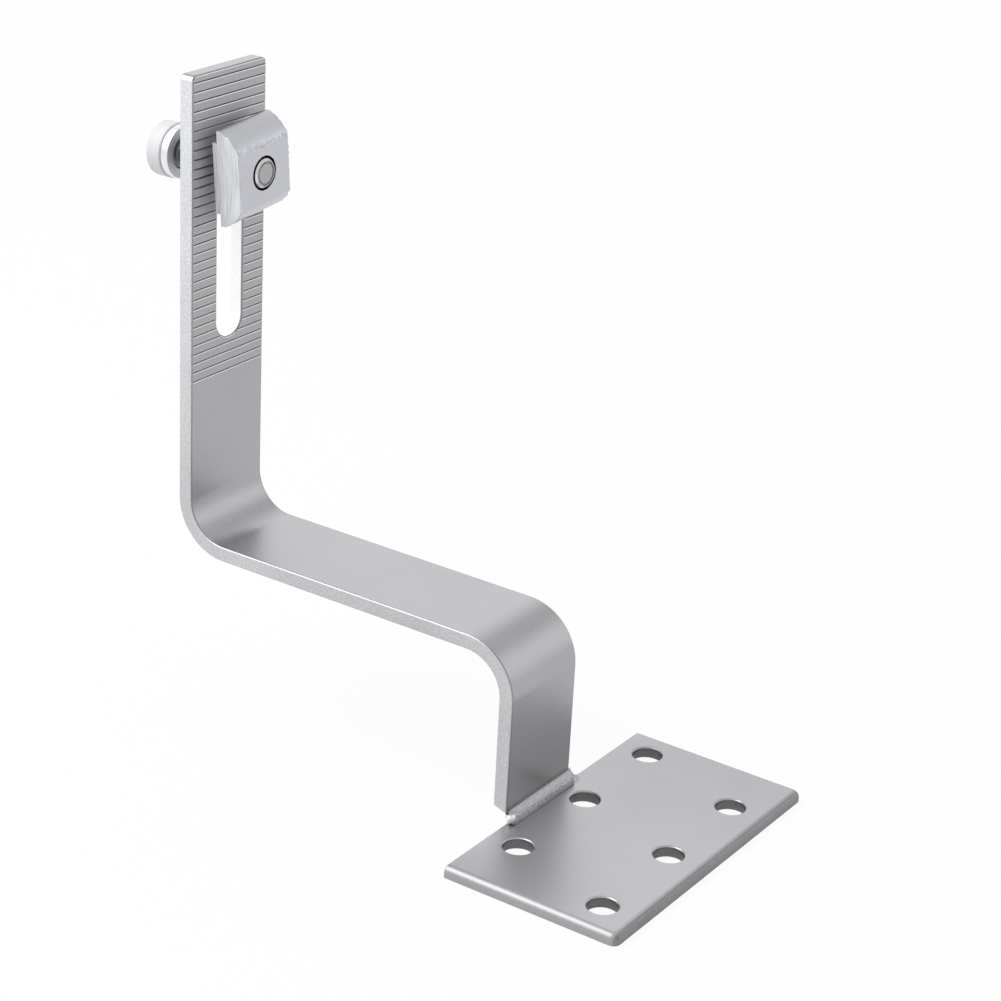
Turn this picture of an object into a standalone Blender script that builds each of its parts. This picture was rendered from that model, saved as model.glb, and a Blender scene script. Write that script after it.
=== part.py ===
"""Steel roof hook for a solar rail, with its sliding rail clamp.

Metres, +Z up. The origin is the middle of the base plate's underside. The plate lies along X,
the hook rises at the plate's back edge, runs back along +Y and ends in a serrated upright whose
front face looks along -Y.
"""
import math

import bmesh
import bpy
from mathutils import Matrix, Vector

# Base plate
PLATE_LENGTH = 0.110
PLATE_DEPTH = 0.061
PLATE_THICKNESS = 0.004
PLATE_EDGE_RADIUS = 0.001
PLATE_HOLE_DIAMETER = 0.0095
PLATE_HOLE_RIM = 0.0006
HOLES_PER_ROW = 3
HOLE_END_INSET = 0.012
HOLE_ROW_STAGGER = 0.006
BACK_ROW_INSET = 0.0105
FRONT_ROW_INSET = 0.0125

# Hook strap, bent from flat bar
STRAP_WIDTH = 0.035
STRAP_THICKNESS = 0.005
STRAP_EDGE_RADIUS = 0.0007
STRAP_SIDE_SHIFT = 0.005
BEND_INSIDE_RADIUS = 0.013
ARM_TOP_HEIGHT = 0.059
UPRIGHT_SETBACK = 0.1265
HOOK_HEIGHT = 0.210
TOP_CORNER_RADIUS = 0.002
FOOT_HEIGHT = 0.003
FOOT_BEVEL = 0.0026

# Serration pressed into the upright's front face
GROOVE_COUNT = 33
GROOVE_PITCH = 0.003
GROOVE_DEPTH = 0.00045
GROOVE_WIDTH = 0.0010
GROOVE_END_MARGIN = 0.0009
FIRST_GROOVE_DROP = 0.0022

# Slot in the upright
SLOT_WIDTH = 0.012
SLOT_RIM = 0.0003
SLOT_BOTTOM_DROP = 0.0872
SLOT_SIDE_SHIFT = 0.0007

# Weld between the strap's foot and the plate
WELD_RISE = 0.0047
WELD_REACH = 0.0028
WELD_BULGE = 0.0008
WELD_ROOT_DEPTH = 0.0010
WELD_START_INSET = 0.0016
WELD_END_OVERHANG = 0.0018
WELD_END_DOME = 0.0024

# Clamp bolt
BOLT_AXIS_DROP = 0.031
BOLT_DIAMETER = 0.010
BOLT_LENGTH = 0.035
BOLT_TIP_CHAMFER = 0.0010
HEAD_DIAMETER = 0.0175
HEAD_HEIGHT = 0.0057
HEAD_EDGE = 0.0005
SOCKET_ACROSS_FLATS = 0.006
SOCKET_DEPTH = 0.0036

# Spring lock washer
WASHER_DIAMETER = 0.0163
WASHER_THICKNESS = 0.0025
WASHER_RISE = 0.0005
WASHER_SPLIT_ANGLE = math.radians(14)

# Clamp block, sawn from an extruded bar
BLOCK_STANDOFF = 0.0034
BLOCK_WIDTH = 0.024
BLOCK_DEPTH = 0.0101
BLOCK_HEIGHT = 0.0310
FRONT_FACE_HEIGHT = 0.0184
NECK_HEIGHT = 0.023
NECK_DEPTH = 0.0018
BLOCK_SLOPE_BULGE = 0.0011
BLOCK_FRONT_EDGE_RADIUS = 0.0012
EAR_TIP_WIDTH = 0.0004
BLOCK_BORE_RIM = 0.0005
BLOCK_TURN = math.radians(5)

# Clearances, shared by every piece
TOUCH_GAP = 0.0003
CUT_OVERRUN = 0.002

# Smoothness of round shapes
BEND_STEPS = 18
ROUND_STEPS = 48
ARC_STEPS = 8
EDGE_SEGMENTS = 3
SMOOTH_ANGLE = math.radians(30)

# Places worked out from the sizes
PLATE_TOP = PLATE_THICKNESS
RISER_FRONT = PLATE_DEPTH / 2
RISER_BACK = RISER_FRONT + STRAP_THICKNESS
ARM_TOP = PLATE_TOP + ARM_TOP_HEIGHT
ARM_UNDERSIDE = ARM_TOP - STRAP_THICKNESS
UPRIGHT_FRONT = RISER_FRONT + UPRIGHT_SETBACK
HOOK_TOP = PLATE_TOP + HOOK_HEIGHT
STRAP_MIDDLE = -STRAP_SIDE_SHIFT
STRAP_FOOT = PLATE_TOP + FOOT_HEIGHT
BOLT_RADIUS = BOLT_DIAMETER / 2
BOLT_AXIS_X = STRAP_MIDDLE + SLOT_SIDE_SHIFT
BOLT_AXIS_Z = HOOK_TOP - BOLT_AXIS_DROP
BLOCK_FRONT = BLOCK_STANDOFF + BLOCK_DEPTH
HEAD_SEAT = BLOCK_FRONT - BOLT_LENGTH

# A frame whose x runs right, y up and z out of the upright's front face
FACING_FRONT = (math.radians(90), 0, 0)


def clear_scene():
    for old in list(bpy.data.objects):
        bpy.data.objects.remove(old, do_unlink=True)


def metal(name, colour, roughness, metallic=1.0):
    """A plain metal surface."""
    finish = bpy.data.materials.new(name)
    finish.use_nodes = True
    surface = finish.node_tree.nodes["Principled BSDF"]
    surface.inputs["Base Color"].default_value = (*colour, 1)
    surface.inputs["Roughness"].default_value = roughness
    surface.inputs["Metallic"].default_value = metallic
    return finish


def add_object(name, shape, finish=None, location=(0, 0, 0), rotation=(0, 0, 0), parent=None):
    """Turns a bmesh into a smooth-shaded object with outward faces."""
    bmesh.ops.recalc_face_normals(shape, faces=shape.faces)
    mesh = bpy.data.meshes.new(name)
    shape.to_mesh(mesh)
    shape.free()
    mesh.shade_smooth()
    mesh.set_sharp_from_angle(angle=SMOOTH_ANGLE)
    if finish:
        mesh.materials.append(finish)
    made = bpy.data.objects.new(name, mesh)
    made.location = location
    made.rotation_euler = rotation
    made.parent = parent
    bpy.context.scene.collection.objects.link(made)
    return made


def cut_away(target, cutter):
    """Cuts one closed shape out of another and hides the cutter."""
    cutter.hide_render = True
    cutter.display_type = "WIRE"
    boolean = target.modifiers.new(cutter.name, "BOOLEAN")
    boolean.operation = "DIFFERENCE"
    boolean.solver = "EXACT"
    boolean.object = cutter


def round_edges(target, radius):
    """Rounds every edge that turns by more than the smoothing angle."""
    bevel = target.modifiers.new("rounded_edges", "BEVEL")
    bevel.width = radius
    bevel.segments = EDGE_SEGMENTS
    bevel.limit_method = "ANGLE"
    bevel.angle_limit = SMOOTH_ANGLE
    bevel.harden_normals = True


def loft(shape, rings):
    """Skins closed rings of points, one after the other, and caps both ends."""
    loops = [[shape.verts.new(point) for point in ring] for ring in rings]
    shape.faces.new(loops[0])
    shape.faces.new(loops[-1])
    for near, far in zip(loops, loops[1:]):
        for here in range(len(near)):
            after = (here + 1) % len(near)
            shape.faces.new((near[here], near[after], far[after], far[here]))


def arc_between(start, end, bulge):
    """Points on the arc from start to end that swells by bulge to the left of the chord."""
    start, end = Vector(start), Vector(end)
    chord = end - start
    radius = chord.length ** 2 / (8 * bulge) + bulge / 2
    left = Vector((-chord.y, chord.x)).normalized()
    centre = (start + end) / 2 + left * (bulge - radius)
    half_angle = math.asin(chord.length / 2 / radius)
    points = []
    for step in range(ARC_STEPS + 1):
        angle = half_angle * (1 - 2 * step / ARC_STEPS)
        points.append(centre + Matrix.Rotation(angle, 2) @ left * radius)
    return points


def round_outline(radius, stretch, height):
    """A ring at one height: a circle, or a slot's outline if it is stretched along y."""
    corner_radius = radius / math.cos(math.pi / ROUND_STEPS)
    ring = []
    for step in range(ROUND_STEPS):
        angle = 2 * math.pi * (step + 0.5) / ROUND_STEPS
        reach = math.copysign(stretch, math.sin(angle))
        ring.append((corner_radius * math.cos(angle), corner_radius * math.sin(angle) + reach, height))
    return ring


def add_hole_cutter(shape, centre, radius, stretch, back, front, rim):
    """A round or slotted punch from back to front along z, flared where it leaves the metal."""
    flare = rim + CUT_OVERRUN
    levels = (
        (back - CUT_OVERRUN, radius + flare),
        (back + rim, radius),
        (front - rim, radius),
        (front + CUT_OVERRUN, radius + flare),
    )
    rings = [round_outline(size, stretch, height) for height, size in levels]
    loft(shape, [[Vector(point) + Vector(centre) for point in ring] for ring in rings])


def make_plate(finish):
    """Flat plate with rounded edges and two staggered rows of screw holes."""
    shape = bmesh.new()
    size = Matrix.Diagonal((PLATE_LENGTH, PLATE_DEPTH, PLATE_THICKNESS, 1))
    middle = Matrix.Translation((0, 0, PLATE_THICKNESS / 2))
    bmesh.ops.create_cube(shape, size=1, matrix=middle @ size)
    plate = add_object("base_plate", shape, finish)
    round_edges(plate, PLATE_EDGE_RADIUS)

    holes = bmesh.new()
    row_half = PLATE_LENGTH / 2 - HOLE_END_INSET - HOLE_ROW_STAGGER
    pitch = 2 * row_half / (HOLES_PER_ROW - 1)
    rows = ((PLATE_DEPTH / 2 - BACK_ROW_INSET, HOLE_ROW_STAGGER),
            (FRONT_ROW_INSET - PLATE_DEPTH / 2, -HOLE_ROW_STAGGER))
    for row_y, stagger in rows:
        for place in range(HOLES_PER_ROW):
            x = stagger - row_half + place * pitch
            add_hole_cutter(holes, (x, row_y, 0), PLATE_HOLE_DIAMETER / 2, 0,
                            0, PLATE_THICKNESS, PLATE_HOLE_RIM)
    cut_away(plate, add_object("plate_hole_cutter", holes))


def drop_inner_face(shape, face):
    """Takes out the old end face once the bar goes on from it."""
    if any(len(edge.link_faces) > 2 for edge in face.edges):
        shape.faces.remove(face)


def push_face(shape, face, distance):
    """Extrudes the strap's end face straight ahead and returns the new end face."""
    result = bmesh.ops.extrude_face_region(shape, geom=[face])
    new_verts = [item for item in result["geom"] if isinstance(item, bmesh.types.BMVert)]
    bmesh.ops.translate(shape, verts=new_verts, vec=distance)
    drop_inner_face(shape, face)
    return next(item for item in result["geom"] if isinstance(item, bmesh.types.BMFace))


def bend_face(shape, face, centre, angle):
    """Sweeps the strap's end face round a bend and returns the new end face."""
    result = bmesh.ops.spin(shape, geom=[face], cent=centre, axis=(1, 0, 0),
                            angle=angle, steps=BEND_STEPS)
    drop_inner_face(shape, face)
    return next(item for item in result["geom_last"] if isinstance(item, bmesh.types.BMFace))


def edges_along(shape, direction, accept):
    """Edges that run along one axis and whose middle is accepted."""
    chosen = []
    for edge in shape.edges:
        start, end = (corner.co for corner in edge.verts)
        run = (end - start).normalized()
        if abs(run.dot(Vector(direction))) > math.cos(SMOOTH_ANGLE) and accept((start + end) / 2):
            chosen.append(edge)
    return chosen


def bent_bar():
    """The flat bar: riser, bend back, arm, bend up, upright."""
    shape = bmesh.new()
    half = STRAP_WIDTH / 2
    corners = (
        (STRAP_MIDDLE - half, RISER_FRONT),
        (STRAP_MIDDLE + half, RISER_FRONT),
        (STRAP_MIDDLE + half, RISER_BACK),
        (STRAP_MIDDLE - half, RISER_BACK),
    )
    end = shape.faces.new([shape.verts.new((x, y, STRAP_FOOT)) for x, y in corners])
    riser_bend = Vector((0, RISER_BACK + BEND_INSIDE_RADIUS, ARM_UNDERSIDE - BEND_INSIDE_RADIUS))
    upright_bend = Vector((0, UPRIGHT_FRONT - BEND_INSIDE_RADIUS, ARM_TOP + BEND_INSIDE_RADIUS))
    end = push_face(shape, end, (0, 0, riser_bend.z - STRAP_FOOT))
    end = bend_face(shape, end, riser_bend, math.radians(-90))
    end = push_face(shape, end, (0, upright_bend.y - riser_bend.y, 0))
    end = bend_face(shape, end, upright_bend, math.radians(90))
    push_face(shape, end, (0, 0, HOOK_TOP - upright_bend.z))
    return shape


def make_strap(finish):
    """The bent bar with its bevelled foot, rounded top corners, slot and serration."""
    shape = bent_bar()
    foot_edge = edges_along(
        shape, (1, 0, 0),
        lambda middle: middle.z < STRAP_FOOT + TOUCH_GAP and middle.y > RISER_BACK - TOUCH_GAP)
    bmesh.ops.bevel(shape, geom=foot_edge, offset=FOOT_BEVEL, segments=1, affect="EDGES")
    top_corners = edges_along(shape, (0, 1, 0), lambda middle: middle.z > HOOK_TOP - TOUCH_GAP)
    bmesh.ops.bevel(shape, geom=top_corners, offset=TOP_CORNER_RADIUS, segments=EDGE_SEGMENTS + 1,
                    profile=0.5, affect="EDGES")
    strap = add_object("hook_strap", shape, finish)
    round_edges(strap, STRAP_EDGE_RADIUS)
    cut_away(strap, slot_cutter())
    cut_away(strap, groove_cutter())


def slot_cutter():
    """Punch for the slot, whose top end stops just above the bolt."""
    slot_top = BOLT_AXIS_Z + BOLT_RADIUS + TOUCH_GAP
    slot_bottom = HOOK_TOP - SLOT_BOTTOM_DROP
    stretch = (slot_top - slot_bottom - SLOT_WIDTH) / 2
    shape = bmesh.new()
    add_hole_cutter(shape, (0, 0, 0), SLOT_WIDTH / 2, stretch, -STRAP_THICKNESS, 0, SLOT_RIM)
    middle = (BOLT_AXIS_X, UPRIGHT_FRONT, (slot_top + slot_bottom) / 2)
    return add_object("slot_cutter", shape, location=middle, rotation=FACING_FRONT)


def groove_cutter():
    """A ladder of V-shaped bars that cut the serration."""
    shape = bmesh.new()
    half_length = STRAP_WIDTH / 2 - GROOVE_END_MARGIN
    flank = GROOVE_WIDTH / 2 / GROOVE_DEPTH
    mouth = (GROOVE_DEPTH + CUT_OVERRUN) * flank
    for groove in range(GROOVE_COUNT):
        height = -FIRST_GROOVE_DROP - groove * GROOVE_PITCH
        section = ((height, -GROOVE_DEPTH), (height + mouth, CUT_OVERRUN), (height - mouth, CUT_OVERRUN))
        loft(shape, [[(x, y, z) for y, z in section] for x in (-half_length, half_length)])
    return add_object("groove_cutter", shape, location=(STRAP_MIDDLE, UPRIGHT_FRONT, HOOK_TOP),
                      rotation=FACING_FRONT)


def weld_section():
    """The bead's section: y runs forward from the riser's front face, z up from the plate."""
    corner_radius = PLATE_EDGE_RADIUS + TOUCH_GAP
    corner_side = corner_radius * math.sin(math.radians(45))
    root_low = (PLATE_EDGE_RADIUS - corner_side, corner_side - PLATE_EDGE_RADIUS)
    root_height = FOOT_HEIGHT - TOUCH_GAP
    face = arc_between((WELD_REACH, TOUCH_GAP), (TOUCH_GAP, WELD_RISE), -WELD_BULGE)
    back = [(TOUCH_GAP, root_height), (-WELD_ROOT_DEPTH, root_height), root_low,
            (PLATE_EDGE_RADIUS, TOUCH_GAP)]
    return [Vector(point) for point in [*face, *back]]


def make_weld(finish):
    """One bead across the foot with domed ends, a little past the strap on its right."""
    section = weld_section()
    core = Vector((PLATE_EDGE_RADIUS, FOOT_HEIGHT / 2))
    start = STRAP_MIDDLE - STRAP_WIDTH / 2 + WELD_START_INSET
    end = STRAP_MIDDLE + STRAP_WIDTH / 2 + WELD_END_OVERHANG
    dome = []
    for step in range(ARC_STEPS):
        angle = math.radians(90) * (step + 1) / ARC_STEPS
        dome.append((WELD_END_DOME * (1 - math.cos(angle)), math.sin(angle)))
    stations = [(start + inward, size) for inward, size in dome]
    stations += [(end - inward, size) for inward, size in reversed(dome)]
    rings = []
    for x, size in stations:
        ring = [core + (point - core) * size for point in section]
        rings.append([(x, RISER_FRONT - point.x, PLATE_TOP + point.y) for point in ring])
    shape = bmesh.new()
    loft(shape, rings)
    add_object("weld_bead", shape, finish)


def make_bolt(finish, parent):
    """Low-head socket bolt that points out of the upright's front face."""
    head_radius = HEAD_DIAMETER / 2
    tip = BOLT_LENGTH
    turned = (
        (0, -HEAD_HEIGHT),
        (head_radius - HEAD_EDGE, -HEAD_HEIGHT),
        (head_radius, -HEAD_HEIGHT + HEAD_EDGE),
        (head_radius, 0),
        (BOLT_RADIUS, 0),
        (BOLT_RADIUS, tip - BOLT_TIP_CHAMFER),
        (BOLT_RADIUS - BOLT_TIP_CHAMFER, tip),
        (0, tip),
    )
    shape = bmesh.new()
    profile = [shape.verts.new((radius, 0, height)) for radius, height in turned]
    lines = [shape.edges.new(pair) for pair in zip(profile, profile[1:])]
    bmesh.ops.spin(shape, geom=[*profile, *lines], cent=(0, 0, 0), axis=(0, 0, 1),
                   angle=math.radians(360), steps=ROUND_STEPS, use_merge=True)
    bmesh.ops.remove_doubles(shape, verts=shape.verts, dist=TOUCH_GAP / 10)
    bolt = add_object("clamp_bolt", shape, finish, location=(0, 0, HEAD_SEAT), parent=parent)

    socket = bmesh.new()
    corner = SOCKET_ACROSS_FLATS / math.sqrt(3)
    depth = SOCKET_DEPTH + CUT_OVERRUN
    centre = Matrix.Translation((0, 0, -HEAD_HEIGHT + (SOCKET_DEPTH - CUT_OVERRUN) / 2))
    bmesh.ops.create_cone(socket, cap_ends=True, segments=6, radius1=corner, radius2=corner,
                          depth=depth, matrix=centre)
    cut_away(bolt, add_object("socket_cutter", socket, location=(0, 0, HEAD_SEAT), parent=parent))


def make_washer(finish, parent):
    """Split spring washer, wound one turn with a small rise between its ends."""
    inner = BOLT_RADIUS + TOUCH_GAP
    outer = WASHER_DIAMETER / 2
    section = ((inner, 0), (outer, 0), (outer, WASHER_THICKNESS), (inner, WASHER_THICKNESS))
    shape = bmesh.new()
    face = shape.faces.new([shape.verts.new((radius, 0, height)) for radius, height in section])
    bmesh.ops.rotate(shape, verts=shape.verts, cent=(0, 0, 0),
                     matrix=Matrix.Rotation(WASHER_SPLIT_ANGLE / 2, 3, "Z"))
    bmesh.ops.spin(shape, geom=[face], cent=(0, 0, 0), axis=(0, 0, 1),
                   dvec=(0, 0, WASHER_RISE / ROUND_STEPS),
                   angle=2 * math.pi - WASHER_SPLIT_ANGLE, steps=ROUND_STEPS)
    add_object("lock_washer", shape, finish, location=(0, 0, HEAD_SEAT + TOUCH_GAP), parent=parent)


def block_section():
    """Half of the bar's outline: y up from the bolt's axis, z forward from the neck's back."""
    ear_tip = BLOCK_HEIGHT / 2
    slope = arc_between((ear_tip, NECK_DEPTH + EAR_TIP_WIDTH),
                        (FRONT_FACE_HEIGHT / 2, BLOCK_DEPTH), -BLOCK_SLOPE_BULGE)
    neck = NECK_HEIGHT / 2
    return [(neck, 0), (neck, NECK_DEPTH), (ear_tip, NECK_DEPTH), *slope]


def make_block(finish, parent):
    """Clamp nut sawn from a bar: a neck between two ears, sloping shoulders, a flat front."""
    half = block_section()
    outline = [*half, *[(-y, z) for y, z in reversed(half)]]
    shape = bmesh.new()
    loft(shape, [[(x, y, z) for y, z in outline] for x in (-BLOCK_WIDTH / 2, BLOCK_WIDTH / 2)])
    front_edges = edges_along(
        shape, (1, 0, 0), lambda middle: middle.z > BLOCK_DEPTH - TOUCH_GAP)
    bmesh.ops.bevel(shape, geom=front_edges, offset=BLOCK_FRONT_EDGE_RADIUS,
                    segments=EDGE_SEGMENTS, profile=0.5, affect="EDGES")
    block = add_object("clamp_block", shape, finish, location=(0, 0, BLOCK_STANDOFF),
                       rotation=(0, 0, BLOCK_TURN), parent=parent)
    bore = bmesh.new()
    add_hole_cutter(bore, (0, 0, 0), BOLT_RADIUS + TOUCH_GAP, 0, 0, BLOCK_DEPTH, BLOCK_BORE_RIM)
    cut_away(block, add_object("bore_cutter", bore, location=(0, 0, BLOCK_STANDOFF), parent=parent))


def make_clamp(block_finish, bolt_finish, washer_finish):
    """The clamp's three pieces hang on one empty, which lies on the bolt's axis."""
    axis = bpy.data.objects.new("clamp_axis", None)
    axis.location = (BOLT_AXIS_X, UPRIGHT_FRONT, BOLT_AXIS_Z)
    axis.rotation_euler = FACING_FRONT
    bpy.context.scene.collection.objects.link(axis)
    make_bolt(bolt_finish, axis)
    make_washer(washer_finish, axis)
    make_block(block_finish, axis)


clear_scene()
make_plate(metal("plate_steel", (0.50, 0.50, 0.52), 0.42))
make_strap(metal("strap_steel", (0.52, 0.52, 0.54), 0.45))
make_weld(metal("weld_metal", (0.45, 0.45, 0.46), 0.55))
make_clamp(
    metal("block_aluminium", (0.55, 0.56, 0.58), 0.5),
    metal("bolt_steel", (0.62, 0.63, 0.64), 0.3),
    metal("washer_steel", (0.55, 0.56, 0.57), 0.35),
)
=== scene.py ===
"""Steel roof hook for solar rails with its sliding rail clamp: finished surfaces, light and camera.

Metres, +Z up. The base plate lies on the floor, the hook rises at its back edge and carries the
clamp on its serrated upright, whose front looks along -Y.
"""
import math

import bmesh
import bpy
from mathutils import Matrix, Vector, noise


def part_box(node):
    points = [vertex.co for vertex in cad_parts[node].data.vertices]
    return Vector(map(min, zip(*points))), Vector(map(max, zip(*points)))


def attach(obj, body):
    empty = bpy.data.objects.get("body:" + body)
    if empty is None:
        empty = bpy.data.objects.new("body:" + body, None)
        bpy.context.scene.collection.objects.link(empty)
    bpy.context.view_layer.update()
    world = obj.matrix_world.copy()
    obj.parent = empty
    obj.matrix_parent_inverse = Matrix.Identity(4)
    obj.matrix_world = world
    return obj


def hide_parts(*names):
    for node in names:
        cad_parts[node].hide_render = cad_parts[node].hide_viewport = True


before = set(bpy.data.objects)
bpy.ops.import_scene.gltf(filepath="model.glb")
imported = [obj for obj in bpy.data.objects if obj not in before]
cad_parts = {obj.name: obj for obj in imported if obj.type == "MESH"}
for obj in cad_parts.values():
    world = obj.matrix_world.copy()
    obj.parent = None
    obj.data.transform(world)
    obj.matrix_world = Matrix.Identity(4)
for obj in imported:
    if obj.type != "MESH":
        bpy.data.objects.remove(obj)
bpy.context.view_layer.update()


# Base plate
# Hot-rolled stainless plate, sheared to size and drilled with six fixing holes in two staggered
# rows. It was tumbled until its edges were round, then glass-bead blasted to an even satin grey.
# Only its back edge, which the weld runs along, was cut again and is sharp.
PLATE_TOP_RADIUS = 0.0024
PLATE_UNDER_RADIUS = 0.0007
PLATE_CORNER_RADIUS = 0.0027
PLATE_BACK_RADIUS = 0.0004
PLATE_EDGE_SEGMENTS = 10
PLATE_EDGE_BAND = 0.003
HOLE_RADIUS = 0.00475
HOLE_RIM_RADIUS = 0.0007
HOLE_PITCH = 0.037
HOLE_ROWS = ((0.020, 0.006), (-0.018, -0.006))  # each row's place along Y and its shift along X
HOLE_STEPS = 72
RIM_SEGMENTS = 4
PLATE_SHADE_REACH = 0.1
# The faces' finishes, in the order in which the finished plate is given them.
PLATE_TOP, PLATE_HOLE, PLATE_FRONT, PLATE_EDGE = range(4)
# Limits for a face's normal: a wall's leans upwards by less than the first, and a rounding's
# leans outwards by more than the second.
WALL_LEAN = 0.5
ROUNDING_LEAN = 0.2

CUT_OVERRUN = 0.002  # how far a cutter runs past what it cuts
SMOOTH_ANGLE = math.radians(32)  # a sharper turn than this shows as an edge
MERGE_REACH = 0.000002  # corners closer together than this become one
ALONG_X, ALONG_Y, ALONG_Z = range(3)

# Real blasting leaves pits of about 0.1 mm. They are too fine to show from the camera, so the
# grit of every metal here is drawn about four times as coarse.
GRIT_SIZE = 0.00045
GRIT_HEIGHT = 0.000012
GRIT_ROUGHNESS = 0.6
CLOUD_SIZE = 0.025
CLOUD_ROUGHNESS = 0.5
CLOUD_SHARE = 0.2
NOISE_DETAIL = 2
# The noise values that the two tones, and the two ends of the gloss, are spread between.
TONE_SPAN = (0.35, 0.65)
GLOSS_SPAN = (0.3, 0.7)
GLOSS_SPREAD = 0.03
# A Mix node's sockets share their names, so they are picked by number.
SHARE, FIRST_NUMBER, SECOND_NUMBER, FIRST_COLOUR, SECOND_COLOUR = 0, 2, 3, 6, 7
MIXED_NUMBER, MIXED_COLOUR = 0, 2


def linear(colour):
    """A colour written as sRGB hex digits, in linear light."""
    channels = [int(colour[place:place + 2], 16) / 255 for place in (0, 2, 4)]
    return (*[c / 12.92 if c <= 0.04045 else ((c + 0.055) / 1.055) ** 2.4 for c in channels], 1)


def new_finish(name, metallic=1.0):
    """A material with its surface shader, ready for a pattern."""
    finish = bpy.data.materials.new(name)
    finish.use_nodes = True
    surface = finish.node_tree.nodes["Principled BSDF"]
    surface.inputs["Metallic"].default_value = metallic
    return finish.node_tree, surface


def add_node(tree, kind, inputs, **settings):
    """Adds a node; each input is a plain value or another node's output."""
    made = tree.nodes.new(kind)
    for setting, value in settings.items():
        setattr(made, setting, value)
    for name, value in inputs.items():
        if isinstance(value, bpy.types.NodeSocket):
            tree.links.new(value, made.inputs[name])
        else:
            made.inputs[name].default_value = value
    return made


def worked_metal(name, light, dark, roughness, grain_size=GRIT_SIZE, grain_height=GRIT_HEIGHT,
                 grain_run=None, stains_and_painted_shade=()):
    """Bare metal, a little cloudy, whose fine grain varies its tone, its gloss and its surface.

    grain_run(tree, place) gives the grain a direction. Each of stains_and_painted_shade is a
    colour, a centre and a
    reach: the metal is multiplied by that colour, fully at the centre and not at all at the reach,
    which stains the metal or paints shade onto it.
    """
    tree, surface = new_finish(name)
    place = add_node(tree, "ShaderNodeTexCoord", {}).outputs["Object"]
    clouds = add_node(tree, "ShaderNodeTexNoise",
                      {"Vector": place, "Scale": 1 / CLOUD_SIZE, "Detail": NOISE_DETAIL,
                       "Roughness": CLOUD_ROUGHNESS})
    grain = add_node(tree, "ShaderNodeTexNoise",
                     {"Vector": grain_run(tree, place) if grain_run else place,
                      "Scale": 1 / grain_size, "Detail": NOISE_DETAIL,
                      "Roughness": GRIT_ROUGHNESS})
    tone = add_node(tree, "ShaderNodeMix",
                    {SHARE: CLOUD_SHARE, FIRST_NUMBER: grain.outputs["Fac"],
                     SECOND_NUMBER: clouds.outputs["Fac"]})
    share = add_node(tree, "ShaderNodeMapRange",
                     {"Value": tone.outputs[MIXED_NUMBER], "From Min": TONE_SPAN[0],
                      "From Max": TONE_SPAN[1]})
    colour = add_node(tree, "ShaderNodeMix",
                      {SHARE: share.outputs[0], FIRST_COLOUR: linear(dark),
                       SECOND_COLOUR: linear(light)}, data_type="RGBA")
    for stain_or_shade, centre, reach in stains_and_painted_shade:
        away = add_node(tree, "ShaderNodeVectorMath", {0: place, 1: centre},
                        operation="DISTANCE")
        nearness = add_node(tree, "ShaderNodeMapRange",
                            {"Value": away.outputs["Value"], "From Min": reach, "From Max": 0.0},
                            interpolation_type="SMOOTHSTEP")
        colour = add_node(tree, "ShaderNodeMix",
                          {SHARE: nearness.outputs[0], FIRST_COLOUR: colour.outputs[MIXED_COLOUR],
                           SECOND_COLOUR: linear(stain_or_shade)}, data_type="RGBA", blend_type="MULTIPLY")
    tree.links.new(colour.outputs[MIXED_COLOUR], surface.inputs["Base Color"])
    satin = add_node(tree, "ShaderNodeMapRange",
                     {"Value": grain.outputs["Fac"], "From Min": GLOSS_SPAN[0],
                      "From Max": GLOSS_SPAN[1], "To Min": roughness - GLOSS_SPREAD,
                      "To Max": roughness + GLOSS_SPREAD})
    tree.links.new(satin.outputs[0], surface.inputs["Roughness"])
    relief = add_node(tree, "ShaderNodeBump",
                      {"Height": grain.outputs["Fac"], "Distance": grain_height})
    tree.links.new(relief.outputs[0], surface.inputs["Normal"])


def cut_out(stock, punch, operation="DIFFERENCE"):
    """Cuts the punch's space out of the stock, or joins the two; each face keeps its finish."""
    finishes = max(face.material_index for face in [*stock.faces, *punch.faces]) + 1
    pair = []
    for name, shape in (("stock", stock), ("punch", punch)):
        mesh = bpy.data.meshes.new(name)
        shape.to_mesh(mesh)
        shape.free()
        for _ in range(finishes):
            mesh.materials.append(None)
        pair.append(bpy.data.objects.new(name, mesh))
        bpy.context.scene.collection.objects.link(pair[-1])
    cut = pair[0].modifiers.new("cut", "BOOLEAN")
    cut.operation = operation
    cut.solver = "EXACT"
    cut.object = pair[1]
    result = bmesh.new()
    result.from_object(pair[0], bpy.context.evaluated_depsgraph_get())
    for used in pair:
        bpy.data.objects.remove(used)
    return result


def cut_flat(shape, point, outward):
    """Cuts off what lies beyond a plane and closes the cut with a flat face."""
    cut = bmesh.ops.bisect_plane(shape, geom=[*shape.verts, *shape.edges, *shape.faces],
                                 plane_co=point, plane_no=outward, clear_outer=True)
    rim = [item for item in cut["geom_cut"] if isinstance(item, bmesh.types.BMEdge)]
    bmesh.ops.contextual_create(shape, geom=rim)


def length_along(edge, axis):
    """How far an edge runs along one axis."""
    return abs(edge.verts[0].co[axis] - edge.verts[1].co[axis])


def sharp_edges(shape, accept=lambda corner: True):
    """Edges that turn by more than the smoothing angle and whose ends are both accepted."""
    return [edge for edge in shape.edges
            if len(edge.link_faces) == 2 and edge.calc_face_angle() > SMOOTH_ANGLE
            and all(accept(corner.co) for corner in edge.verts)]


def round_off(shape, edges, radius, segments):
    """Rounds edges off, or bevels them flat with one segment."""
    bmesh.ops.bevel(shape, geom=edges, offset=radius, segments=segments, profile=0.5,
                    affect="EDGES", material=-1)


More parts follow.
